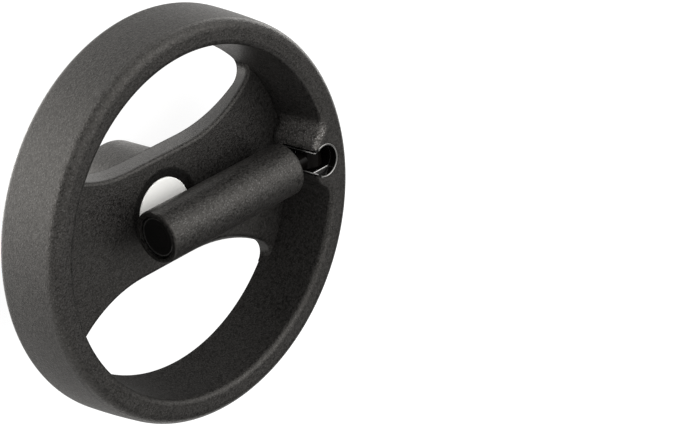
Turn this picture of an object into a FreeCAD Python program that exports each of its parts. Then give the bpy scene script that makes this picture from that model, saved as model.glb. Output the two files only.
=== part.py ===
import FreeCAD, Part
import os
import math
from FreeCAD import Vector, Placement, Rotation

os.makedirs("parts", exist_ok=True)
doc = FreeCAD.newDocument("handwheel")

# ---------------------------------------------------------------- sheet of sizes
sheet = doc.addObject("Spreadsheet::Sheet", "dims")
VAL = {}
_row = [0]


def put(alias, value):
    if alias in VAL:
        assert abs(VAL[alias] - value) < 1e-9, alias
        return alias
    _row[0] += 1
    cell = "B%d" % _row[0]
    sheet.set("A%d" % _row[0], alias)
    sheet.set(cell, "%.6f" % value)
    sheet.setAlias(cell, alias)
    VAL[alias] = float("%.6f" % value)
    return alias


# heights are above the rear face of the hub, radii are from the wheel axis
for a, v in [
    ("front_z", 51.0), ("back_z", 24.4), ("rim_rad_front", 73.23), ("rim_rad_back", 75.0),
    ("wall_rad_front", 64.12), ("wall_rad_back", 61.65),
    ("rim_round_front", 4.0), ("rim_round_back", 2.8), ("lip_round", 2.1), ("lip_round_back", 0.5),
    ("nose_x", 57.1), ("boss_corner_y", 4.4), ("boss_corner_rad", 7.7), ("boss_blend_rad", 4.0),
    ("boss_draft", 0.3),
    ("rim_crown_rad", 230.0),
    ("web_front_z", 28.9), ("web_rear_z", 24.2),
    ("web_front_half", 20.3), ("web_front_flat", 14.5), ("web_front_arc", 48.0), ("web_front_corner", 5.5),
    ("web_rear_half", 23.3), ("web_rear_flat", 14.0), ("web_rear_arc", 62.0), ("web_rear_corner", 6.5),
    ("web_bite", 0.25), ("web_root", 3.0), ("web_edge_round", 1.5),
    ("hub_rad_rear", 20.1), ("hub_rad_web", 20.4), ("hub_round", 1.2), ("hub_root_round", 1.2),
    ("hub_top_z", 25.0),
    ("ring_rad", 16.1), ("ring_inner_rad", 12.5), ("ring_depth", 0.5),
    ("cap_rad", 12.2), ("cap_top_z", 28.5), ("cap_shelf_z", 26.9), ("cap_plug_rad", 11.6), ("cap_round", 0.35),
    ("bush_rad", 13.5), ("bush_top_z", 25.6), ("bush_groove", 0.8), ("bore_rad", 7.0),
    ("bore_bevel", 0.8), ("key_width", 5.0), ("key_height", 9.3),
    ("pivot_x", 61.3), ("pivot_z", 42.2),
    ("cup_rad", 6.6), ("mouth_rad", 5.7), ("mouth_floor_z", 47.8), ("cup_floor_z", 36.5),
    ("cup_bottom_z", 34.2), ("cheek_half", 3.9), ("lip_edge", 0.38),
    ("pin_rad", 1.5), ("pin_length", 12.6), ("eye_bore_rad", 1.53),
    ("eye_rad", 4.6), ("eye_width", 7.2), ("eye_round", 0.6), ("neck_rad", 2.9),
    ("collar_rad", 4.6), ("shaft_rad", 3.5), ("dimple_rad", 2.0), ("dimple_out", 1.0),
    ("grip_rad", 9.95), ("grip_near", 12.6), ("grip_far", 79.3), ("grip_bore_rad", 3.55),
    ("grip_round_near", 1.5), ("grip_round_far", 0.9), ("seat_rad", 8.0), ("chamber_rad", 7.3),
    ("well_rad", 2.5), ("well_z", 27.4), ("plunger_rad", 1.4), ("plunger_hole_rad", 1.45),
    ("flange_rad", 2.2), ("wire_rad", 0.25), ("coil_rad", 1.85), ("coil_pitch", 1.11),
]:
    put(a, v)
doc.recompute()
S = VAL


# ---------------------------------------------------------------- helpers
def origin_plane(body, role):
    for f in body.Origin.OriginFeatures:
        if f.Role == role:
            return f
    raise RuntimeError(role)


def new_body(name):
    b = doc.addObject("PartDesign::Body", name)
    b.Label = name
    return b


def outline(body, name, role, edges, height=None):
    """Closed outline. edges: (start, kind, ...) with start = (x, y); kind 'line' or
    ('arc', centre, radius alias, counter-clockwise). Corners and radii follow the sheet."""
    sk = body.newObject("Sketcher::SketchObject", name)
    sk.AttachmentSupport = [(origin_plane(body, role), "")]
    sk.MapMode = "FlatFace"
    if height is not None:
        sk.AttachmentOffset = Placement(Vector(0, 0, S[height]), Rotation())
        sk.setExpression("AttachmentOffset.Base.z", "dims.%s" % height)
    n = len(edges)
    ends = []
    arcs = []
    for i, e in enumerate(edges):
        a = e[0]
        b = edges[(i + 1) % n][0]
        if e[1] == "line":
            g = sk.addGeometry(Part.LineSegment(Vector(a[0], a[1], 0), Vector(b[0], b[1], 0)), False)
            ends.append((g, 1, 2))
        else:
            _, c, rad, ccw = e[1]
            r = S[rad]
            t0 = math.atan2(a[1] - c[1], a[0] - c[0])
            t1 = math.atan2(b[1] - c[1], b[0] - c[0])
            if not ccw:
                t0, t1 = t1, t0
            while t1 <= t0:
                t1 += 2 * math.pi
            g = sk.addGeometry(Part.ArcOfCircle(Part.Circle(Vector(c[0], c[1], 0), Vector(0, 0, 1), r), t0, t1), False)
            ends.append((g, 1, 2) if ccw else (g, 2, 1))
            arcs.append((g, rad, r))
    import Sketcher
    for i in range(n):
        g, s, t = ends[i]
        h, s2, t2 = ends[(i + 1) % n]
        sk.addConstraint(Sketcher.Constraint("Coincident", g, t, h, s2))
    for g, rad, r in arcs:
        k = sk.addConstraint(Sketcher.Constraint("Radius", g, r))
        sk.setExpression("Constraints[%d]" % k, "dims.%s" % rad)
    for i, e in enumerate(edges):
        g, s, t = ends[i]
        x, y = e[0]
        for axis, val, kind, geo in (("x", x, "DistanceX", -2), ("y", y, "DistanceY", -1)):
            if abs(val) < 1e-7:
                sk.addConstraint(Sketcher.Constraint("PointOnObject", g, s, geo))
            else:
                alias = put("%s_%d%s" % (name, i, axis), val)
                k = sk.addConstraint(Sketcher.Constraint(kind, -1, 1, g, s, val))
                sk.setExpression("Constraints[%d]" % k, "dims.%s" % alias)
    return sk


def poly(points):
    return [(p, "line") for p in points]


def circle_sketch(body, name, role, centre, rad, height=None):
    import Sketcher
    sk = body.newObject("Sketcher::SketchObject", name)
    sk.AttachmentSupport = [(origin_plane(body, role), "")]
    sk.MapMode = "FlatFace"
    if height is not None:
        sk.AttachmentOffset = Placement(Vector(0, 0, S[height]), Rotation())
        sk.setExpression("AttachmentOffset.Base.z", "dims.%s" % height)
    g = sk.addGeometry(Part.Circle(Vector(centre[0], centre[1], 0), Vector(0, 0, 1), S[rad]), False)
    k = sk.addConstraint(Sketcher.Constraint("Radius", g, S[rad]))
    sk.setExpression("Constraints[%d]" % k, "dims.%s" % rad)
    for axis, val, kind, geo in (("x", centre[0], "DistanceX", -2), ("y", centre[1], "DistanceY", -1)):
        if abs(val) < 1e-7:
            sk.addConstraint(Sketcher.Constraint("PointOnObject", g, 3, geo))
        else:
            alias = put("%s_c%s" % (name, axis), val)
            k = sk.addConstraint(Sketcher.Constraint(kind, -1, 1, g, 3, val))
            sk.setExpression("Constraints[%d]" % k, "dims.%s" % alias)
    return sk


def revolve(body, name, sk, axis):
    r = body.newObject("PartDesign::Revolution", name)
    r.Profile = sk
    r.ReferenceAxis = (sk, [axis])
    r.Angle = 360
    doc.recompute()
    return r


def pocket(body, name, sk, length=None, through=False, midplane=False, flip=False):
    p = body.newObject("PartDesign::Pocket", name)
    p.Profile = sk
    if through:
        p.Type = 1
    else:
        p.Length = length
    p.Midplane = midplane
    p.Reversed = flip
    doc.recompute()
    return p


def edges_where(shape, test):
    return ["Edge%d" % (i + 1) for i, e in enumerate(shape.Edges) if test(e)]


def round_edges(body, name, base, names, alias):
    f = body.newObject("PartDesign::Fillet", name)
    f.Base = (base, names)
    f.Radius = S[alias]
    f.setExpression("Radius", "dims.%s" % alias)
    doc.recompute()
    return f


def at(obj, x=None, z=None):
    obj.Placement = Placement(Vector(S[x] if x else 0, 0, S[z] if z else 0), obj.Placement.Rotation)
    if x:
        obj.setExpression("Placement.Base.x", "dims.%s" % x)
    if z:
        obj.setExpression("Placement.Base.z", "dims.%s" % z)


def zspan(e):
    b = e.BoundBox
    return b.ZMin, b.ZMax


def rmax(e):
    return max(math.hypot(v.X, v.Y) for v in e.Vertexes)


# ---------------------------------------------------------------- rim with the hinge boss
rim = new_body("rim_form")
# the band round the outside is slightly crowned between its front and rear edges
bx, bz0, tx, tz0 = S["rim_rad_back"], S["back_z"], S["rim_rad_front"], S["front_z"]
chord = math.hypot(tx - bx, tz0 - bz0)
sag = math.sqrt(S["rim_crown_rad"] ** 2 - chord ** 2 / 4.0)
crown = ((bx + tx) / 2.0 - (tz0 - bz0) / chord * sag, (bz0 + tz0) / 2.0 + (tx - bx) / chord * sag)
sk = outline(rim, "rim_section", "XZ_Plane", [
    ((0, bz0), "line"), ((bx, bz0), ("arc", crown, "rim_crown_rad", True)), ((tx, tz0), "line"), ((0, tz0), "line")])
disc = revolve(rim, "rim_disc", sk, "V_Axis")


def dish(wall_rad, nose):
    """plan of the inside of the rim: the wall circle, broken by the hinge boss"""
    rc, rb = S["boss_corner_rad"], S["boss_blend_rad"]
    c = (nose + rc, S["boss_corner_y"])
    dc = math.hypot(*c)
    dd = wall_rad - rb
    ang = math.atan2(c[1], c[0]) + math.acos((dc ** 2 + dd ** 2 - (rc + rb) ** 2) / (2 * dc * dd))
    d = (dd * math.cos(ang), dd * math.sin(ang))
    k = rc / (rc + rb)
    t1 = (c[0] + k * (d[0] - c[0]), c[1] + k * (d[1] - c[1]))
    t2 = (wall_rad * math.cos(ang), wall_rad * math.sin(ang))
    return c, d, t1, t2


def dish_outline(name, wall_alias, nose, height):
    c, d, t1, t2 = dish(S[wall_alias], nose)
    return outline(rim, name, "XY_Plane", [
        (t2, ("arc", (0, 0), wall_alias, True)),
        ((t2[0], -t2[1]), ("arc", (d[0], -d[1]), "boss_blend_rad", True)),
        ((t1[0], -t1[1]), ("arc", (c[0], -c[1]), "boss_corner_rad", False)),
        ((nose, -c[1]), "line"),
        ((nose, c[1]), ("arc", c, "boss_corner_rad", False)),
        (t1, ("arc", d, "boss_blend_rad", True)),
    ], height)


dish_top = dish_outline("dish_top", "wall_rad_front", S["nose_x"], "front_z")
dish_low = dish_outline("dish_low", "wall_rad_back", S["nose_x"] - S["boss_draft"], "back_z")
cut = rim.newObject("PartDesign::SubtractiveLoft", "dish_cut")
cut.Profile = dish_top
cut.Sections = [dish_low]
cut.Ruled = True
doc.recompute()
v0, v1 = disc.Shape.Volume, cut.Shape.Volume
assert v1 < 0.45 * v0, (v0, v1)

fz, bz = S["front_z"], S["back_z"]
lip = round_edges(rim, "lip_rounding", cut, edges_where(
    cut.Shape, lambda e: abs(zspan(e)[0] - fz) < 1e-4 and abs(zspan(e)[1] - fz) < 1e-4 and rmax(e) < 68), "lip_round")
outer = round_edges(rim, "rim_rounding", lip, edges_where(
    lip.Shape, lambda e: abs(zspan(e)[0] - fz) < 1e-4 and abs(zspan(e)[1] - fz) < 1e-4 and rmax(e) > 70), "rim_round_front")
outer2 = round_edges(rim, "rim_rounding_rear", outer, edges_where(
    outer.Shape, lambda e: abs(zspan(e)[0] - bz) < 1e-4 and abs(zspan(e)[1] - bz) < 1e-4 and rmax(e) > 70), "rim_round_back")
inner2 = round_edges(rim, "wall_rounding_rear", outer2, edges_where(
    outer2.Shape, lambda e: abs(zspan(e)[0] - bz) < 1e-4 and abs(zspan(e)[1] - bz) < 1e-4 and rmax(e) < 68), "lip_round_back")

# ---------------------------------------------------------------- the two spokes, one plate
web = new_body("web_form")


def wall_at(z):
    k = (z - S["back_z"]) / (S["front_z"] - S["back_z"])
    return S["wall_rad_back"] + k * (S["wall_rad_front"] - S["wall_rad_back"])


def web_outline(name, z_alias):
    g0 = S[name + "_half"]
    ra, rc = name + "_arc", name + "_corner"
    rr = put(name + "_root", wall_at(S[z_alias]) + S["web_root"])
    ax, ay = S[name + "_flat"], g0 + S[ra]
    de = wall_at(S[z_alias]) - S[rc] + S["web_bite"]
    da = S[ra] - S[rc]
    dA = math.hypot(ax, ay)
    ang = math.atan2(ay, ax) - math.acos((dA ** 2 + de ** 2 - da ** 2) / (2 * dA * de))
    ex, ey = de * math.cos(ang), de * math.sin(ang)
    k = S[ra] / da
    t1 = (ax + k * (ex - ax), ay + k * (ey - ay))
    t2 = ((de + S[rc]) * math.cos(ang), (de + S[rc]) * math.sin(ang))
    t3 = (S[rr] * math.cos(ang), S[rr] * math.sin(ang))
    q = []
    # right lower quarter to right upper quarter, then round the left side
    q.append(((ax, -g0), ("arc", (ax, -ay), ra, False)))
    q.append(((t1[0], -t1[1]), ("arc", (ex, -ey), rc, False)))
    q.append(((t2[0], -t2[1]), "line"))
    q.append(((t3[0], -t3[1]), ("arc", (0, 0), rr, True)))
    q.append((t3, "line"))
    q.append((t2, ("arc", (ex, ey), rc, False)))
    q.append((t1, ("arc", (ax, ay), ra, False)))
    q.append(((ax, g0), "line"))
    q.append(((-ax, g0), ("arc", (-ax, ay), ra, False)))
    q.append(((-t1[0], t1[1]), ("arc", (-ex, ey), rc, False)))
    q.append(((-t2[0], t2[1]), "line"))
    q.append(((-t3[0], t3[1]), ("arc", (0, 0), rr, True)))
    q.append(((-t3[0], -t3[1]), "line"))
    q.append(((-t2[0], -t2[1]), ("arc", (-ex, -ey), rc, False)))
    q.append(((-t1[0], -t1[1]), ("arc", (-ax, -ay), ra, False)))
    q.append(((-ax, -g0), "line"))
    return outline(web, name, "XY_Plane", q, z_alias)


web_front = web_outline("web_front", "web_front_z")
web_rear = web_outline("web_rear", "web_rear_z")
plate = web.newObject("PartDesign::AdditiveLoft", "web_plate")
plate.Profile = web_front
plate.Sections = [web_rear]
plate.Ruled = True
doc.recompute()


def web_side(zal):
    z = S[zal]
    lim = wall_at(z) + S["web_bite"] + 0.02

    def t(e):
        a, b = zspan(e)
        return abs(a - z) < 1e-4 and abs(b - z) < 1e-4 and rmax(e) < lim
    return t


edge1 = round_edges(web, "web_edge_rounding", plate, edges_where(plate.Shape, web_side("web_front_z")), "web_edge_round")

# ---------------------------------------------------------------- hub barrel behind the spokes
hub = new_body("hub_form")
r0, r1, zt, rr = S["hub_rad_rear"], S["hub_rad_web"], S["hub_top_z"], S["hub_round"]
sk = outline(hub, "hub_section", "XZ_Plane", poly([(0, 0), (r0, 0), (r1, zt), (0, zt)]))
barrel = revolve(hub, "hub_barrel", sk, "V_Axis")
barrel_r = round_edges(hub, "hub_rounding", barrel, edges_where(
    barrel.Shape, lambda e: abs(zspan(e)[0]) < 1e-4 and abs(zspan(e)[1]) < 1e-4 and rmax(e) > 10), "hub_round")

casting = doc.addObject("Part::MultiFuse", "wheel_solid")
casting.Shapes = [rim, web, hub]
doc.recompute()


def soften(base, name, test, alias):
    """rounding of an inside corner; the object is kept only where it comes out whole"""
    ids = [i + 1 for i, e in enumerate(base.Shape.Edges) if test(e)]
    if not ids:
        print("no edge for", name)
        return base
    f = doc.addObject("Part::Fillet", name)
    f.Base = base
    f.Edges = [(i, S[alias], S[alias]) for i in ids]
    doc.recompute()
    bad = ("Invalid" in f.State) or ("Error" in f.State) or f.Shape.isNull() or not f.Shape.isValid() \
        or len(f.Shape.Solids) != 1 or f.Shape.Volume < base.Shape.Volume * 0.98
    if bad:
        print("left out:", name)
        doc.removeObject(f.Name)
        return base
    base.Visibility = False
    return f


zr = S["web_rear_z"]
casting2 = soften(casting, "hub_root_rounding", lambda e: abs(zspan(e)[0] - zr) < 1e-3 and abs(zspan(e)[1] - zr) < 1e-3
                  and 19.5 < rmax(e) < 21.0, "hub_root_round")

# ---------------------------------------------------------------- bores of the moulding
hub_bore = new_body("hub_bore_form")
sl = (S["ring_rad"] - S["ring_inner_rad"]) / S["ring_depth"]
g = S["bush_groove"]
br, bt = S["bush_rad"], S["bush_top_z"]
wf, rd = S["web_front_z"], S["ring_depth"]
bush_steps = [(br, 17.6), (br - g, 17.0), (br - g, 14.6), (br, 14.0), (br, 10.6), (br - g, 10.0), (br - g, 7.6), (br, 7.0)]
sk = outline(hub_bore, "hub_bore_section", "XZ_Plane", poly(
    [(0, wf + 1), (S["ring_rad"] + sl, wf + 1), (S["ring_inner_rad"], wf - rd), (S["ring_inner_rad"], S["cap_shelf_z"]),
     (S["cap_plug_rad"], S["cap_shelf_z"]), (S["cap_plug_rad"], bt), (br, bt)] + bush_steps + [(br, -2), (0, -2)]))
revolve(hub_bore, "hub_bore_cut", sk, "V_Axis")

hinge_bore = new_body("hinge_bore_form")
sk = outline(hinge_bore, "hinge_bore_section", "XZ_Plane", poly(
    [(0, fz + 2), (S["cup_rad"], fz + 2), (S["cup_rad"], S["cup_bottom_z"]), (S["well_rad"], S["cup_bottom_z"]),
     (S["well_rad"], S["well_z"]), (0, S["well_z"])]))
revolve(hinge_bore, "hinge_bore_cut", sk, "V_Axis")
at(hinge_bore, x="pivot_x")

tools = doc.addObject("Part::MultiFuse", "bores")
tools.Shapes = [hub_bore, hinge_bore]
wheel = doc.addObject("Part::Cut", "wheel_body")
wheel.Base = casting2
wheel.Tool = tools
wheel.Label = "wheel_body"
doc.recompute()

# ---------------------------------------------------------------- steel hub bush with keyed bore
bush = new_body("hub_bush")
bv = S["bore_bevel"]
bo = S["bore_rad"]
sk = outline(bush, "bush_section", "XZ_Plane", poly(
    [(bo, bt), (br, bt)] + bush_steps + [(br, 0), (bo + bv, 0), (bo, bv)]))
revolve(bush, "bush_turning", sk, "V_Axis")
kw = S["key_width"] / 2.0
sk = outline(bush, "key_slot", "XY_Plane", poly([(0, -kw), (S["key_height"], -kw), (S["key_height"], kw), (0, kw)]))
p = pocket(bush, "key_way", sk, through=True, flip=True)
if p.Shape.Volume > bush.Group[1].Shape.Volume - 50:
    p.Reversed = False
    doc.recompute()
bush.Tip = p

# ---------------------------------------------------------------- push-in hub cap
cap = new_body("hub_cap")
sk = outline(cap, "cap_section", "XZ_Plane", poly(
    [(0, bt), (S["cap_plug_rad"] - 0.4, bt), (S["cap_plug_rad"], bt + 0.4), (S["cap_plug_rad"], S["cap_shelf_z"]),
     (S["cap_rad"], S["cap_shelf_z"]), (S["cap_rad"], S["cap_top_z"]), (0, S["cap_top_z"])]))
ct = revolve(cap, "cap_turning", sk, "V_Axis")
round_edges(cap, "cap_rounding", ct, edges_where(
    ct.Shape, lambda e: abs(zspan(e)[0] - S["cap_top_z"]) < 1e-4 and abs(zspan(e)[1] - S["cap_top_z"]) < 1e-4
    and rmax(e) > 5), "cap_round")

# ---------------------------------------------------------------- hinge cup in the boss
cup = new_body("pivot_housing")
sk = outline(cup, "cup_section", "XZ_Plane", poly(
    [(0, S["cup_bottom_z"]), (S["cup_rad"], S["cup_bottom_z"]), (S["cup_rad"], fz), (0, fz)]))
c0 = revolve(cup, "cup_turning", sk, "V_Axis")
sk = circle_sketch(cup, "mouth_circle", "XY_Plane", (0, 0), "mouth_rad", "front_z")
c1 = pocket(cup, "mouth_cut", sk, length=fz - S["mouth_floor_z"])
c1.setExpression("Length", "dims.front_z - dims.mouth_floor_z")
mr, ch = S["mouth_rad"], S["cheek_half"]
xa = math.sqrt(mr ** 2 - ch ** 2)
sk = outline(cup, "slot_plan", "XY_Plane", [
    ((-9.0, -ch), "line"), ((xa, -ch), ("arc", (0, 0), "mouth_rad", True)), ((xa, ch), "line"), ((-9.0, ch), "line")],
    "mouth_floor_z")
c2 = pocket(cup, "slot_cut", sk, length=S["mouth_floor_z"] - S["cup_floor_z"])
c2.setExpression("Length", "dims.mouth_floor_z - dims.cup_floor_z")
sk = circle_sketch(cup, "pin_circle", "XZ_Plane", (0, S["pivot_z"]), "pin_rad")
c3 = pocket(cup, "pin_hole", sk, length=40, midplane=True)
sk = circle_sketch(cup, "plunger_circle", "XY_Plane", (0, 0), "plunger_hole_rad", "cup_floor_z")
c4 = pocket(cup, "plunger_hole", sk, length=6)
assert c0.Shape.Volume > c1.Shape.Volume > c2.Shape.Volume > c3.Shape.Volume > c4.Shape.Volume + 5
lipf = round_edges(cup, "lip_rounding_cup", c4, edges_where(
    c4.Shape, lambda e: abs(zspan(e)[0] - fz) < 1e-4 and abs(zspan(e)[1] - fz) < 1e-4), "lip_edge")
# the cup stops at the nose of the boss, with the same rounded front
nx = S["nose_x"] - S["pivot_x"]
lr = S["lip_round"]
zc = fz - lr
dr = S["boss_draft"] / (fz - bz)
nose_at = lambda z: nx - dr * (fz - z)
cx = nose_at(zc) + lr
sk = outline(cup, "nose_profile", "XZ_Plane", [
    ((cx, fz), "line"), ((cx, fz + 2), "line"), ((-12.0, fz + 2), "line"), ((-12.0, 30.0), "line"),
    ((nose_at(30.0), 30.0), "line"), ((cx - lr, zc), ("arc", (cx, zc), "lip_round", False))])
c5 = pocket(cup, "nose_cut", sk, length=40, midplane=True)
assert c5.Shape.Volume < lipf.Shape.Volume - 20
cup.Tip = c5
at(cup, x="pivot_x")
housing = cup
doc.recompute()

# ---------------------------------------------------------------- hinge pin
pin = doc.addObject("Part::Cylinder", "pivot_pin")
pin.Label = "pivot_pin"
pin.Radius = S["pin_rad"]
pin.Height = S["pin_length"]
pin.setExpression("Radius", "dims.pin_rad")
pin.setExpression("Height", "dims.pin_length")
pin.Placement = Placement(Vector(S["pivot_x"], S["pin_length"] / 2.0, S["pivot_z"]), Rotation(Vector(1, 0, 0), 90))
pin.setExpression("Placement.Base.x", "dims.pivot_x")
pin.setExpression("Placement.Base.y", "dims.pin_length / 2")
pin.setExpression("Placement.Base.z", "dims.pivot_z")

# ---------------------------------------------------------------- spindle with its eye, folded along -X
spindle = new_body("spindle")
sr, nr, cr = S["shaft_rad"], S["neck_rad"], S["collar_rad"]
sk = outline(spindle, "spindle_section", "XZ_Plane", poly(
    [(-71.6, 0), (-71.6, sr - 0.6), (-71.0, sr), (-69.72, sr), (-69.72, 2.8), (-68.78, 2.8), (-68.78, sr), (-11.55, sr),
     (-11.55, cr - 0.25), (-11.3, cr), (-10.55, cr), (-10.3, cr - 0.25), (-10.3, nr + 0.5), (-9.8, nr), (-2.0, nr), (-2.0, 0)]))
s0 = revolve(spindle, "spindle_turning", sk, "H_Axis")
sk = circle_sketch(spindle, "eye_circle", "XZ_Plane", (0, 0), "eye_rad")
eye = spindle.newObject("PartDesign::Pad", "eye_disc")
eye.Profile = sk
eye.Length = S["eye_width"]
eye.setExpression("Length", "dims.eye_width")
eye.Midplane = True
doc.recompute()
ew = S["eye_width"] / 2.0
eyer = round_edges(spindle, "eye_rounding", eye, edges_where(
    eye.Shape, lambda e: abs(abs(e.BoundBox.YMin) - ew) < 1e-4 and abs(e.BoundBox.YMin - e.BoundBox.YMax) < 1e-4), "eye_round")
sk = circle_sketch(spindle, "eye_hole_circle", "XZ_Plane", (0, 0), "eye_bore_rad")
eyeh = pocket(spindle, "eye_hole", sk, length=40, midplane=True)
for nm, pos in (("dimple_folded", Vector(0, 0, -(S["eye_rad"] + S["dimple_out"]))),
                ("dimple_raised", Vector(S["eye_rad"] + S["dimple_out"], 0, 0))):
    d = spindle.newObject("PartDesign::SubtractiveSphere", nm)
    d.Radius = S["dimple_rad"]
    d.setExpression("Radius", "dims.dimple_rad")
    d.AttachmentSupport = [(origin_plane(spindle, "XY_Plane"), "")]
    d.MapMode = "FlatFace"
    d.AttachmentOffset = Placement(pos, Rotation())
    doc.recompute()
at(spindle, x="pivot_x", z="pivot_z")


# ---------------------------------------------------------------- washer and retaining ring on the spindle
def ring_on_spindle(name, outer, inner, x_far, x_near, gap=0.0):
    a = doc.addObject("Part::Cylinder", name + "_disc")
    b = doc.addObject("Part::Cylinder", name + "_hole")
    parts = [b]
    put(name + "_outer", outer)
    put(name + "_inner", inner)
    put(name + "_thick", x_near - x_far)
    put(name + "_far", x_far)
    for o, r, h in ((a, "_outer", 0.0), (b, "_inner", 1.0)):
        o.Radius = S[name + r]
        o.setExpression("Radius", "dims.%s%s" % (name, r))
        o.Height = x_near - x_far + 2 * h
        o.setExpression("Height", "dims.%s_thick + %g" % (name, 2 * h))
        o.Placement = Placement(Vector(x_far - h, 0, 0), Rotation(Vector(0, 1, 0), 90))
        o.setExpression("Placement.Base.x", "dims.%s_far - %g" % (name, h))
    if gap:
        c = doc.addObject("Part::Box", name + "_gap")
        c.Length = x_near - x_far + 2
        c.Width = gap
        c.Height = outer + 2
        c.Placement = Placement(Vector(x_far - 1, -gap / 2.0, 0), Rotation())
        parts.append(c)
    tool = parts[0]
    if len(parts) > 1:
        tool = doc.addObject("Part::MultiFuse", name + "_tools")
        tool.Shapes = parts
    r = doc.addObject("Part::Cut", name)
    r.Base = a
    r.Tool = tool
    r.Label = name
    doc.recompute()
    at(r, x="pivot_x", z="pivot_z")
    return r


washer = ring_on_spindle("thrust_washer", 5.6, 3.6, -12.45, -11.7)
circlip = ring_on_spindle("retaining_ring", 5.6, 2.82, -69.7, -68.8, gap=3.0)

# ---------------------------------------------------------------- revolving grip
grip = new_body("grip_sleeve")
gn, gf, gr = S["grip_near"], S["grip_far"], S["grip_rad"]
sk = outline(grip, "grip_section", "XZ_Plane", poly(
    [(-gn, S["grip_bore_rad"] + 0.5), (-gn, gr), (-gf, gr), (-gf, S["seat_rad"]), (-gf + 2.9, S["seat_rad"]),
     (-gf + 2.9, S["chamber_rad"]), (-68.6, S["chamber_rad"]), (-68.6, S["grip_bore_rad"]),
     (-gn - 0.5, S["grip_bore_rad"])]))
g0 = revolve(grip, "grip_turning", sk, "H_Axis")
g1 = round_edges(grip, "grip_rounding_near", g0, edges_where(
    g0.Shape, lambda e: abs(e.BoundBox.XMin + gn) < 1e-4 and abs(e.BoundBox.XMax + gn) < 1e-4
    and e.BoundBox.ZMax > gr - 0.1), "grip_round_near")
g2 = round_edges(grip, "grip_rounding_far", g1, edges_where(
    g1.Shape, lambda e: abs(e.BoundBox.XMin + gf) < 1e-4 and abs(e.BoundBox.XMax + gf) < 1e-4
    and e.BoundBox.ZMax > gr - 0.1), "grip_round_far")
at(grip, x="pivot_x", z="pivot_z")

gcap = new_body("grip_end_cap")
xf = -gf + 0.9
sk = outline(gcap, "end_cap_section", "XZ_Plane", poly(
    [(xf + 0.8, 0), (xf + 0.65, 4.4), (xf + 0.2, 6.7), (xf, 7.1), (xf, 7.45), (xf + 0.35, 7.8), (-gf + 2.9, 7.8),
     (-gf + 2.9, S["chamber_rad"]), (-gf + 6.4, S["chamber_rad"]), (-gf + 6.4, 5.6), (-gf + 4.0, 5.6), (-gf + 4.0, 0)]))
revolve(gcap, "end_cap_turning", sk, "H_Axis")
at(gcap, x="pivot_x", z="pivot_z")

# ---------------------------------------------------------------- detent plunger and spring
plunger = new_body("detent_plunger")
pr = S["plunger_rad"]
sk = outline(plunger, "plunger_section", "XZ_Plane", [
    ((0, 31.3), "line"), ((1.25, 31.3), "line"), ((1.25, 32.4), "line"), ((S["flange_rad"], 32.4), "line"),
    ((S["flange_rad"], 33.4), "line"), ((pr, 33.4), "line"), ((pr, 36.0), ("arc", (0, 36.0), "plunger_rad", True)),
    ((0, 37.4), "line")])
revolve(plunger, "plunger_turning", sk, "V_Axis")
at(plunger, x="pivot_x")

helix = doc.addObject("Part::Helix", "coil_path")
helix.Radius = S["coil_rad"]
helix.Pitch = S["coil_pitch"]
helix.Height = 4 * S["coil_pitch"]
helix.SegmentLength = 0.25
helix.setExpression("Radius", "dims.coil_rad")
helix.setExpression("Pitch", "dims.coil_pitch")
helix.setExpression("Height", "dims.coil_pitch * 4")
wire = doc.addObject("Part::Circle", "coil_section")
wire.Radius = S["wire_rad"]
wire.setExpression("Radius", "dims.wire_rad")
lead = math.degrees(math.atan2(S["coil_pitch"], 2 * math.pi * S["coil_rad"]))
wire.Placement = Placement(Vector(S["coil_rad"], 0, 0), Rotation(Vector(1, 0, 0), 90 + lead))
wire.setExpression("Placement.Base.x", "dims.coil_rad")
coil = doc.addObject("Part::Sweep", "detent_spring")
coil.Label = "detent_spring"
coil.Sections = [wire]
coil.Spine = (helix, [])
coil.Solid = True
coil.Frenet = True
doc.recompute()
coil.Placement = Placement(Vector(S["pivot_x"], 0, S["well_z"] + S["wire_rad"] + 0.03), Rotation())
coil.setExpression("Placement.Base.x", "dims.pivot_x")
coil.setExpression("Placement.Base.z", "dims.well_z + dims.wire_rad + 0.03")
doc.recompute()

# ---------------------------------------------------------------- checks and files
nodes = [wheel, bush, cap, housing, pin, spindle, washer, circlip, grip, gcap, plunger, coil]
for o in doc.Objects:
    if "Invalid" in o.State or "Error" in o.State:
        raise RuntimeError("state of %s: %s" % (o.Name, o.State))
for o in nodes:
    s = o.Shape
    if s.isNull() or not s.isValid() or len(s.Solids) != 1:
        for q in s.Solids:
            print(o.Label, q.Volume, q.BoundBox)
        raise RuntimeError("shape of %s: null %s, solids %d" % (o.Label, s.isNull(), len(s.Solids)))
    s.exportStep("parts/%s.step" % o.Label)
    b = s.BoundBox
    print("%-16s vol %9.1f  x %.2f %.2f  y %.2f %.2f  z %.2f %.2f" % (
        o.Label, s.Volume, b.XMin, b.XMax, b.YMin, b.YMax, b.ZMin, b.ZMax))
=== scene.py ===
import bpy
import math
from mathutils import Matrix, Vector

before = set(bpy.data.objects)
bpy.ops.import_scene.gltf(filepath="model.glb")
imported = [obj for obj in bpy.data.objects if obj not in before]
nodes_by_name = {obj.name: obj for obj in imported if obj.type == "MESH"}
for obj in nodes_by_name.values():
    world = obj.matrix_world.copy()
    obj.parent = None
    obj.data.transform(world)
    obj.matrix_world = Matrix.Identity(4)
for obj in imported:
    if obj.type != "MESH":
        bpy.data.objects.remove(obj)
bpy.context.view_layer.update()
scene = bpy.context.scene

# ------------------------------------------------------------------ colour and camera
scene.view_settings.view_transform = "Standard"
scene.view_settings.look = "None"
scene.view_settings.exposure = 0.0
scene.view_settings.gamma = 1.0

RIGHT = Vector((0.664198, -0.100241, 0.740805))
UP = Vector((0.377452, 0.900344, -0.216591))
BACK = Vector((-0.645268, 0.423478, 0.635843))
CAMERA_AT = Vector((-0.592742, 0.409391, 0.704083))

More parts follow.
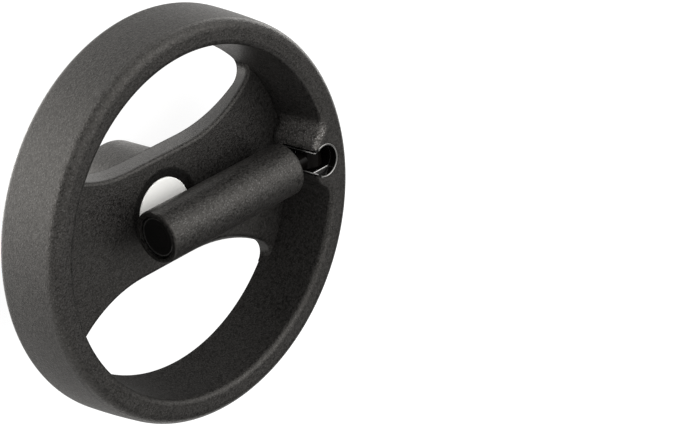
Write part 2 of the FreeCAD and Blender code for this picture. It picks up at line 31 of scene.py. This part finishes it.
cam_data = bpy.data.cameras.new("photo_camera")
cam = bpy.data.objects.new("photo_camera", cam_data)
scene.collection.objects.link(cam)
cam_data.sensor_fit = "HORIZONTAL"
cam_data.sensor_width = 36.0
cam_data.lens = 142.31
cam_data.clip_start = 0.02
cam_data.clip_end = 30.0
turn = Matrix((RIGHT, UP, BACK)).transposed().to_4x4()
cam.matrix_world = Matrix.Translation(CAMERA_AT) @ turn
scene.camera = cam


# ------------------------------------------------------------------ node helpers
class Tree:
    """short way to write a node tree"""

    def __init__(self, tree):
        self.t = tree
        tree.nodes.clear()

    def n(self, kind, **values):
        node = self.t.nodes.new(kind)
        for k, v in values.items():
            if k.startswith("in_"):
                key = k[3:]
                key = int(key) if key.isdigit() else key.replace("_", " ")
                self.put(node.inputs[key], v)
            elif k == "name":
                node.name = v
                node.label = v
            else:
                setattr(node, k, v)
        return node

    def put(self, socket, v):
        if isinstance(v, bpy.types.NodeSocket):
            self.t.links.new(v, socket)
        else:
            socket.default_value = v

    def math(self, op, a, b=None, c=None, clamp=False, name=None):
        m = self.n("ShaderNodeMath", operation=op, use_clamp=clamp)
        if name:
            m.name = name
        for i, v in enumerate((a, b, c)):
            if v is not None:
                self.put(m.inputs[i], v)
        return m.outputs[0]

    def noise(self, vec, scale, detail=2.0, rough=0.5, distortion=0.0):
        m = self.n("ShaderNodeTexNoise", noise_dimensions="3D")
        self.put(m.inputs["Vector"], vec)
        m.inputs["Scale"].default_value = scale
        m.inputs["Detail"].default_value = detail
        m.inputs["Roughness"].default_value = rough
        m.inputs["Distortion"].default_value = distortion
        return m.outputs["Fac"]

    def ramp(self, fac, stops):
        m = self.n("ShaderNodeValToRGB")
        self.put(m.inputs[0], fac)
        els = m.color_ramp.elements
        while len(els) > len(stops):
            els.remove(els[-1])
        while len(els) < len(stops):
            els.new(1.0)
        for e, (p, c) in zip(els, stops):
            e.position = p
            e.color = c if len(c) == 4 else (*c, 1.0)
        return m.outputs["Color"]

    def span(self, v, a, b, lo=0.0, hi=1.0, smooth=False):
        m = self.n("ShaderNodeMapRange", interpolation_type="SMOOTHSTEP" if smooth else "LINEAR")
        self.put(m.inputs["Value"], v)
        m.inputs["From Min"].default_value = a
        m.inputs["From Max"].default_value = b
        m.inputs["To Min"].default_value = lo
        m.inputs["To Max"].default_value = hi
        return m.outputs["Result"]

    def mix(self, fac, a, b, mode="MIX"):
        m = self.n("ShaderNodeMix", data_type="RGBA", blend_type=mode)
        self.put(m.inputs[0], fac)
        self.put(m.inputs[6], a if isinstance(a, bpy.types.NodeSocket) else (*a, 1.0))
        self.put(m.inputs[7], b if isinstance(b, bpy.types.NodeSocket) else (*b, 1.0))
        return m.outputs[2]


def grey(v, warm=0.0):
    return (v * (1 + warm), v, v * (1 - warm))


# ------------------------------------------------------------------ materials
def moulded(name, dark, light, rough, grain_mm, grain_depth_mm, warm=0.05, seed=0.0, speckle=0.35, gloss=0.5, grit=0.6,
             wheel_zones=False, smooth_x=None):
    """matt plastic with glass filling: a sandy etched face, fine light specks and slow clouds of tone"""
    mat = bpy.data.materials.new(name)
    mat.use_nodes = True
    t = Tree(mat.node_tree)
    out = t.n("ShaderNodeOutputMaterial")
    sh = t.n("ShaderNodeBsdfPrincipled")
    t.put(out.inputs[0], sh.outputs[0])
    co = t.n("ShaderNodeTexCoord").outputs["Object"]
    mp = t.n("ShaderNodeMapping")
    t.put(mp.inputs["Vector"], co)
    mp.inputs["Location"].default_value = (seed, seed * 0.7, -seed * 0.3)
    co = mp.outputs[0]
    cloud = t.noise(co, 34.0, 3.0, 0.55)
    mid = t.noise(co, 260.0, 3.0, 0.6)
    fine = t.noise(co, 1000.0 / grain_mm, 1.0, 0.5)
    dots = t.n("ShaderNodeTexVoronoi", feature="F1", distance="EUCLIDEAN")
    t.put(dots.inputs["Vector"], co)
    dots.inputs["Scale"].default_value = 1000.0 / (grain_mm * 0.8)
    dots.inputs["Randomness"].default_value = 1.0
    cell = t.n("ShaderNodeSeparateColor")
    t.put(cell.inputs[0], dots.outputs["Color"])
    # tone: slow clouds, then each grain its own shade
    tone = t.math("ADD", t.math("MULTIPLY", cloud, 0.42), t.math("MULTIPLY", mid, 0.16))
    tone = t.math("ADD", tone, t.math("MULTIPLY", fine, 0.42))
    base = t.ramp(t.span(tone, 0.36, 0.66), [(0.0, grey(dark, warm)), (1.0, grey(light, warm))])
    shade = t.span(cell.outputs[1], 0.0, 1.0, 1.0 - grit, 1.0 + grit)
    scaled = t.n("ShaderNodeVectorMath", operation="SCALE")
    t.put(scaled.inputs[0], base)
    t.put(scaled.inputs["Scale"], shade)
    # light specks of the filling near the face
    spot = t.math("MULTIPLY", t.span(cell.outputs[0], 0.32, 1.0), t.span(dots.outputs["Distance"], 0.62, 0.25))
    spot = t.math("MULTIPLY", spot, speckle)
    coarse = None
    if smooth_x is not None:
        # the turned end of the grip is smoother than its side
        ends = t.n("ShaderNodeSeparateXYZ")
        t.put(ends.inputs[0], t.n("ShaderNodeTexCoord").outputs["Object"])
        coarse = t.span(ends.outputs[0], smooth_x, smooth_x + 0.0012, 0.12, 1.0)
        spot = t.math("MULTIPLY", spot, coarse)
    base = t.mix(spot, scaled.outputs[0], grey(0.066, 0.02))
    glint = spot
    if wheel_zones:
        sep = t.n("ShaderNodeSeparateXYZ")
        t.put(sep.inputs[0], co)
        x, y, z = sep.outputs
        rad = t.math("SQRT", t.math("ADD", t.math("MULTIPLY", x, x), t.math("MULTIPLY", y, y)))
        # painted light: the side walls of the spokes and the upper flank of the boss are painted paler where light
        # falls on them; the flank is lightened on its upper (+Y) side only
        spoke_side_painted_light = t.math("MULTIPLY", t.span(z, 0.0242, 0.0245), t.span(z, 0.0284, 0.0277))
        spoke_side_painted_light = t.math("MULTIPLY", spoke_side_painted_light, t.math("MULTIPLY", t.span(rad, 0.0195, 0.0205), t.span(rad, 0.0613, 0.0606)))
        boss_flank_painted_light = t.math("MULTIPLY", t.span(z, 0.0295, 0.0315), t.span(z, 0.0507, 0.0497))
        boss_flank_painted_light = t.math("MULTIPLY", boss_flank_painted_light, t.math("MULTIPLY", t.span(y, 0.0005, 0.0035), t.span(y, 0.0165, 0.0125)))
        inside = t.math("MULTIPLY", t.span(x, 0.043, 0.047), t.span(rad, 0.0660, 0.0640))
        boss_flank_painted_light = t.math("MULTIPLY", boss_flank_painted_light, inside)
        # painted highlight: the rounded front edge of the boss, upper side, is painted paler still
        boss_edge_painted_highlight = t.math("MULTIPLY", t.span(z, 0.0484, 0.0493), t.span(z, 0.05095, 0.0506))
        boss_edge_painted_highlight = t.math("MULTIPLY", boss_edge_painted_highlight, t.math("MULTIPLY", t.span(y, 0.0035, 0.0065), t.span(y, 0.0165, 0.0125)))
        boss_edge_painted_highlight = t.math("MULTIPLY", boss_edge_painted_highlight, inside)
        painted_light_gain = t.math("ADD", 1.0, t.math("ADD", t.math("MULTIPLY", boss_flank_painted_light, 2.6), t.math("MULTIPLY", boss_edge_painted_highlight, 4.0)))
        painted_light_lift = t.n("ShaderNodeVectorMath", operation="SCALE")
        t.put(painted_light_lift.inputs[0], base)
        t.put(painted_light_lift.inputs["Scale"], painted_light_gain)
        # painted shade: the shallow dish round the cap is darkened to near black and made partly metallic and dull,
        # standing in for the shade in the recess
        dish_painted_shade = t.math("MULTIPLY", t.span(rad, 0.0163, 0.0152), t.span(z, 0.0278, 0.0282))
        # painted light: the side walls of the spokes are switched to a much paler grey
        base = t.mix(t.math("MULTIPLY", spoke_side_painted_light, 0.85), painted_light_lift.outputs[0],
                     t.ramp(t.span(tone, 0.36, 0.66), [(0.0, grey(0.070, 0.012)), (1.0, grey(0.095, 0.012))]))
        base = t.mix(t.math("MULTIPLY", dish_painted_shade, 0.65), base, (0.006, 0.0058, 0.0056))
        glint = t.math("MULTIPLY", spot, t.math("SUBTRACT", 1.0, spoke_side_painted_light))
        glint = t.math("MAXIMUM", glint, t.math("MULTIPLY", dish_painted_shade, 0.42))
    t.put(sh.inputs["Base Color"], base)
    t.put(sh.inputs["Metallic"], glint)
    strength = 1.0 if coarse is None else coarse
    # roughness
    r = t.math("ADD", t.math("MULTIPLY", cell.outputs[2], 0.16), t.math("MULTIPLY", cloud, 0.10))
    t.put(sh.inputs["Roughness"], t.span(r, 0.05, 0.21, rough - 0.07, rough + 0.08))
    # etched grain
    height = t.math("ADD", t.math("MULTIPLY", fine, 0.70), t.math("MULTIPLY", dots.outputs["Distance"], 0.22))
    height = t.math("ADD", height, t.math("MULTIPLY", mid, 0.06))
    bump = t.n("ShaderNodeBump")
    t.put(bump.inputs["Strength"], strength)
    bump.inputs["Distance"].default_value = grain_depth_mm / 1000.0
    t.put(bump.inputs["Height"], height)
    t.put(sh.inputs["Normal"], bump.outputs[0])
    sh.inputs["IOR"].default_value = 1.5
    sh.inputs["Specular IOR Level"].default_value = gloss
    sh.inputs["Specular Tint"].default_value = (1.0, 0.965, 0.915, 1.0)
    return mat


def satin(name, col, rough, depth_mm=0.01, vary=0.03, gloss=0.5, lip_z=None, ledge_z=None, rim=None):
    """smooth moulding with faint clouds and a trace of swirl"""
    mat = bpy.data.materials.new(name)
    mat.use_nodes = True
    t = Tree(mat.node_tree)
    out = t.n("ShaderNodeOutputMaterial")
    sh = t.n("ShaderNodeBsdfPrincipled")
    t.put(out.inputs[0], sh.outputs[0])
    co = t.n("ShaderNodeTexCoord").outputs["Object"]
    cloud = t.noise(co, 90.0, 3.0, 0.5)
    fine = t.noise(co, 2200.0, 2.0, 0.6)
    lo = tuple(c * (1 - vary) for c in col)
    hi = tuple(min(1.0, c * (1 + vary)) for c in col)
    base = t.ramp(t.span(cloud, 0.35, 0.65), [(0.0, lo), (1.0, hi)])
    if lip_z is not None:
        # painted highlight: the mouth edge is painted bright and partly metallic
        sep = t.n("ShaderNodeSeparateXYZ")
        t.put(sep.inputs[0], co)
        wear_and_painted_highlight = t.span(sep.outputs[2], lip_z - 0.0001, lip_z + 0.0001)
        if ledge_z is not None:
            # painted highlight: a faint bright band on the ledge of the mouth floor
            near = t.math("ABSOLUTE", t.math("SUBTRACT", sep.outputs[2], ledge_z))
            wear_and_painted_highlight = t.math("MAXIMUM", wear_and_painted_highlight, t.math("MULTIPLY", t.span(near, 0.00022, 0.00008), 0.12))
            # painted highlight: the two edges of the slot get pale lines, brighter than the lip
            off = t.math("ABSOLUTE", sep.outputs[1])
            slot_painted_highlight = t.math("MULTIPLY", t.span(off, 0.00391, 0.00396), t.span(off, 0.00436, 0.00424))
            slot_painted_highlight = t.math("MULTIPLY", slot_painted_highlight, t.span(sep.outputs[0], 0.0651, 0.0648))
            slot_painted_highlight = t.math("MULTIPLY", slot_painted_highlight, t.span(sep.outputs[2], ledge_z - 0.0045, ledge_z - 0.0003, 0.10, 1.0))
        base = t.mix(wear_and_painted_highlight, base, (0.17, 0.168, 0.165))
        if ledge_z is not None:
            base = t.mix(t.math("MULTIPLY", slot_painted_highlight, t.span(fine, 0.25, 0.6, 0.5, 1.0)), base, (0.56, 0.555, 0.55))
            wear_and_painted_highlight = t.math("MULTIPLY", wear_and_painted_highlight, t.math("SUBTRACT", 1.0, slot_painted_highlight))
        t.put(sh.inputs["Metallic"], t.math("MULTIPLY", wear_and_painted_highlight, t.span(fine, 0.25, 0.6, 0.6, 1.0)))
    t.put(sh.inputs["Base Color"], base)
    t.put(sh.inputs["Roughness"], t.span(fine, 0.3, 0.7, rough - 0.03, rough + 0.05))
    bump = t.n("ShaderNodeBump")
    bump.inputs["Strength"].default_value = 1.0
    bump.inputs["Distance"].default_value = 1.0
    height = t.math("MULTIPLY", t.math("ADD", t.math("MULTIPLY", fine, 0.4), t.math("MULTIPLY", cloud, 0.6)), depth_mm / 1000.0)
    if rim is not None:
        # an edge that is turned down towards the outside, about an axis along X
        (cy, cz), r0, r1, drop = rim
        sep = t.n("ShaderNodeSeparateXYZ")
        t.put(sep.inputs[0], co)
        dy = t.math("SUBTRACT", sep.outputs[1], cy)
        dz = t.math("SUBTRACT", sep.outputs[2], cz)
        rad = t.math("SQRT", t.math("ADD", t.math("MULTIPLY", dy, dy), t.math("MULTIPLY", dz, dz)))
        height = t.math("ADD", height, t.span(rad, r0, r1, drop, 0.0))
        # painted highlight: a thin pale, partly metallic line along the turned-down edge
        rim_painted_highlight = t.math("MULTIPLY", t.span(rad, r0, r0 + 0.0001), t.span(rad, r1, r1 - 0.0001))
        base = t.mix(t.math("MULTIPLY", rim_painted_highlight, 0.8), base, (0.16, 0.158, 0.155))
        t.put(sh.inputs["Base Color"], base)
        t.put(sh.inputs["Metallic"], t.math("MULTIPLY", rim_painted_highlight, 0.8))
    t.put(bump.inputs["Height"], height)
    t.put(sh.inputs["Normal"], bump.outputs[0])
    sh.inputs["IOR"].default_value = 1.5
    sh.inputs["Specular IOR Level"].default_value = gloss
    return mat


def turned(name, col, rough, axis, ring_mm, depth_mm, centre=(0.0, 0.0, 0.0), metallic=1.0, gloss=0.5):
    """turned metal: fine tool rings about an axis, faint wear"""
    mat = bpy.data.materials.new(name)
    mat.use_nodes = True
    t = Tree(mat.node_tree)
    out = t.n("ShaderNodeOutputMaterial")
    sh = t.n("ShaderNodeBsdfPrincipled")
    t.put(out.inputs[0], sh.outputs[0])
    co = t.n("ShaderNodeTexCoord").outputs["Object"]
    sub = t.n("ShaderNodeVectorMath", operation="SUBTRACT")
    t.put(sub.inputs[0], co)
    sub.inputs[1].default_value = centre
    sep = t.n("ShaderNodeSeparateXYZ")
    t.put(sep.inputs[0], sub.outputs[0])
    x, y, z = sep.outputs
    a, b, along = {"X": (y, z, x), "Y": (x, z, y), "Z": (x, y, z)}[axis]
    rad = t.math("SQRT", t.math("ADD", t.math("MULTIPLY", a, a), t.math("MULTIPLY", b, b)))
    path = t.math("ADD", rad, along)
    comb = t.n("ShaderNodeCombineXYZ")
    t.put(comb.inputs[0], path)
    ring = t.noise(comb.outputs[0], 1000.0 / ring_mm, 2.0, 0.7)
    wear_and_painted_highlight = t.noise(co, 420.0, 3.0, 0.6)
    lo = tuple(c * 0.82 for c in col)
    hi = tuple(min(1.0, c * 1.15) for c in col)
    t.put(sh.inputs["Base Color"], t.ramp(t.span(wear_and_painted_highlight, 0.3, 0.7), [(0.0, lo), (1.0, hi)]))
    mixr = t.math("ADD", t.math("MULTIPLY", ring, 0.5), t.math("MULTIPLY", wear_and_painted_highlight, 0.5))
    t.put(sh.inputs["Roughness"], t.span(mixr, 0.3, 0.7, rough - 0.06, rough + 0.08))
    bump = t.n("ShaderNodeBump")
    bump.inputs["Strength"].default_value = 1.0
    bump.inputs["Distance"].default_value = depth_mm / 1000.0
    t.put(bump.inputs["Height"], ring)
    t.put(sh.inputs["Normal"], bump.outputs[0])
    sh.inputs["Metallic"].default_value = metallic
    sh.inputs["Specular IOR Level"].default_value = gloss
    return mat


PIVOT = (0.0613, 0.0, 0.0422)
finish = {
    "wheel_body": moulded("wheel_plastic_look", 0.0080, 0.0120, 0.38, 0.66, 0.16, speckle=0.7, gloss=0.25, grit=0.85,
                            wheel_zones=True),
    "grip_sleeve": moulded("grip_plastic_look", 0.0080, 0.0120, 0.38, 0.74, 0.21, seed=0.37, speckle=1.0, gloss=0.25, grit=0.95,
                           smooth_x=-0.0172),
    "hub_cap": satin("cap_plastic_look", (0.80, 0.80, 0.785), 0.42, 0.008, 0.012),
    "grip_end_cap": satin("end_cap_look", (0.0045, 0.0043, 0.0042), 0.34, 0.004, 0.10, gloss=0.10, rim=((0.0, 0.0422), 0.0068, 0.0073, 0.0004)),
    "pivot_housing": satin("cup_gloss_look", (0.0025, 0.0023, 0.0022), 0.13, 0.003, 0.10, gloss=0.16, lip_z=0.0508, ledge_z=0.0478),
    "spindle": turned("spindle_black_look", (0.0025, 0.0022, 0.0020), 0.16, "X", 0.35, 0.003, PIVOT, metallic=0.0, gloss=0.04),
    "thrust_washer": turned("washer_steel_look", (0.42, 0.42, 0.42), 0.30, "X", 0.30, 0.003, PIVOT),
    "retaining_ring": turned("ring_steel_look", (0.40, 0.40, 0.41), 0.38, "X", 0.30, 0.003, PIVOT),
    "pivot_pin": turned("pin_steel_look", (0.45, 0.45, 0.46), 0.28, "Y", 0.30, 0.003, PIVOT),
    "hub_bush": turned("bush_steel_look", (0.20, 0.20, 0.205), 0.36, "Z", 0.45, 0.006),
    "detent_plunger": turned("plunger_steel_look", (0.45, 0.45, 0.46), 0.28, "Z", 0.25, 0.002, PIVOT),
    "detent_spring": turned("spring_steel_look", (0.42, 0.42, 0.43), 0.34, "Z", 0.40, 0.002, PIVOT),
}
for node_name, mat in finish.items():
    ob = nodes_by_name[node_name]
    ob.data.materials.clear()
    ob.data.materials.append(mat)

# ------------------------------------------------------------------ soft studio light: the room
LOBES = [
    # azimuth from +X, elevation, strength
    (147, 84, 0.872),
    (27, 52, 4.47), (87, 52, 2.16), (147, 52, 0), (207, 52, 0), (267, 52, 0.61), (327, 52, 0),
    (3, 20, 0), (39, 20, 0), (75, 20, 1.49), (111, 20, 0), (147, 20, 0.688), (183, 20, 0.807), (219, 20, 1.13),
    (255, 20, 1.04), (291, 20, 0), (327, 20, 0),
]
LOBE_K = 9.0
world = bpy.data.worlds.new("room")
scene.world = world
world.use_nodes = True
w = Tree(world.node_tree)
wout = w.n("ShaderNodeOutputWorld")
wbg = w.n("ShaderNodeBackground")
w.put(wout.inputs[0], wbg.outputs[0])
direction = w.n("ShaderNodeTexCoord").outputs["Generated"]
unit = w.n("ShaderNodeVectorMath", operation="NORMALIZE")
w.put(unit.inputs[0], direction)
total = None
for i, (az, el, strength) in enumerate(LOBES):
    a, e = math.radians(az), math.radians(el)
    dot = w.n("ShaderNodeVectorMath", operation="DOT_PRODUCT")
    w.put(dot.inputs[0], unit.outputs[0])
    dot.inputs[1].default_value = (math.cos(a) * math.cos(e), math.sin(a) * math.cos(e), math.sin(e))
    g = w.math("EXPONENT", w.math("MULTIPLY", w.math("SUBTRACT", dot.outputs["Value"], 1.0), LOBE_K))
    g = w.math("MULTIPLY", g, strength, name="lobe_%02d" % i)
    total = g if total is None else w.math("ADD", total, g)
w.put(wbg.inputs["Strength"], total)
wbg.inputs["Color"].default_value = (1.0, 0.99, 0.975, 1.0)

# ------------------------------------------------------------------ floor
FLOOR = [
    # azimuth, ring (0 under the wheel, 1 beside it, 2 out to the walls), strength
    (12, 0, 0.498), (57, 0, 1.31), (102, 0, 1.43), (147, 0, 6.68), (192, 0, 1.38), (237, 0, 0.0102), (282, 0, 0.124), (327, 0, 0.0725),
    (27, 1, 0.888), (87, 1, 0.787), (147, 1, 4.61), (207, 1, 0.713), (267, 1, 0.482), (327, 1, 0),
    (27, 2, 5.63), (87, 2, 0.798), (147, 2, 7.23), (207, 2, 0.956), (267, 2, 2.31), (327, 2, 0),
]
mesh = bpy.data.meshes.new("floor")
h = 4.0
mesh.from_pydata([(-h, -h, 0), (h, -h, 0), (h, h, 0), (-h, h, 0)], [], [(0, 1, 2, 3)])
mesh.update()
floor = bpy.data.objects.new("floor", mesh)
scene.collection.objects.link(floor)
fmat = bpy.data.materials.new("floor_pale")
fmat.use_nodes = True
f = Tree(fmat.node_tree)
fout = f.n("ShaderNodeOutputMaterial")
fco = f.n("ShaderNodeTexCoord").outputs["Object"]
fsep = f.n("ShaderNodeSeparateXYZ")
f.put(fsep.inputs[0], fco)
fx, fy = fsep.outputs[0], fsep.outputs[1]
frad = f.math("SQRT", f.math("ADD", f.math("MULTIPLY", fx, fx), f.math("MULTIPLY", fy, fy)))
fradc = f.math("MAXIMUM", frad, 0.001)
ring_a = f.span(frad, 0.060, 0.085, 0.0, 1.0, smooth=True)
ring_b = f.span(frad, 0.13, 0.24, 0.0, 1.0, smooth=True)
ring_c = f.span(frad, 1.4, 3.4, 1.0, 0.0, smooth=True)
rings = [f.math("SUBTRACT", 1.0, ring_a), f.math("SUBTRACT", ring_a, ring_b), f.math("MULTIPLY", ring_b, ring_c)]
ftotal = None
for i, (az, ring, strength) in enumerate(FLOOR):
    a = math.radians(az)
    c = f.math("ADD", f.math("MULTIPLY", fx, math.cos(a)), f.math("MULTIPLY", fy, math.sin(a)))
    c = f.math("DIVIDE", c, fradc)
    g = f.math("EXPONENT", f.math("MULTIPLY", f.math("SUBTRACT", c, 1.0), 8.0 if ring == 0 else 5.0))
    g = f.math("MULTIPLY", g, rings[ring])
    g = f.math("MULTIPLY", g, strength, name="floor_%02d" % i)
    ftotal = g if ftotal is None else f.math("ADD", ftotal, g)
glow = f.n("ShaderNodeEmission")
glow.inputs["Color"].default_value = (1.0, 0.99, 0.975, 1.0)
f.put(glow.inputs["Strength"], ftotal)
seen = f.n("ShaderNodeEmission", name="floor_seen")
seen.inputs["Color"].default_value = (1.0, 1.0, 1.0, 1.0)
seen.inputs["Strength"].default_value = 0.90
pale = f.n("ShaderNodeBsdfDiffuse", name="floor_pale")
pale.inputs["Color"].default_value = (0.20, 0.20, 0.20, 1.0)
addp = f.n("ShaderNodeAddShader")
f.put(addp.inputs[0], seen.outputs[0])
f.put(addp.inputs[1], pale.outputs[0])
lp = f.n("ShaderNodeLightPath")
mixp = f.n("ShaderNodeMixShader")
f.put(mixp.inputs[0], lp.outputs["Is Camera Ray"])
f.put(mixp.inputs[1], glow.outputs[0])
f.put(mixp.inputs[2], addp.outputs[0])
f.put(fout.inputs[0], mixp.outputs[0])
floor.data.materials.append(fmat)
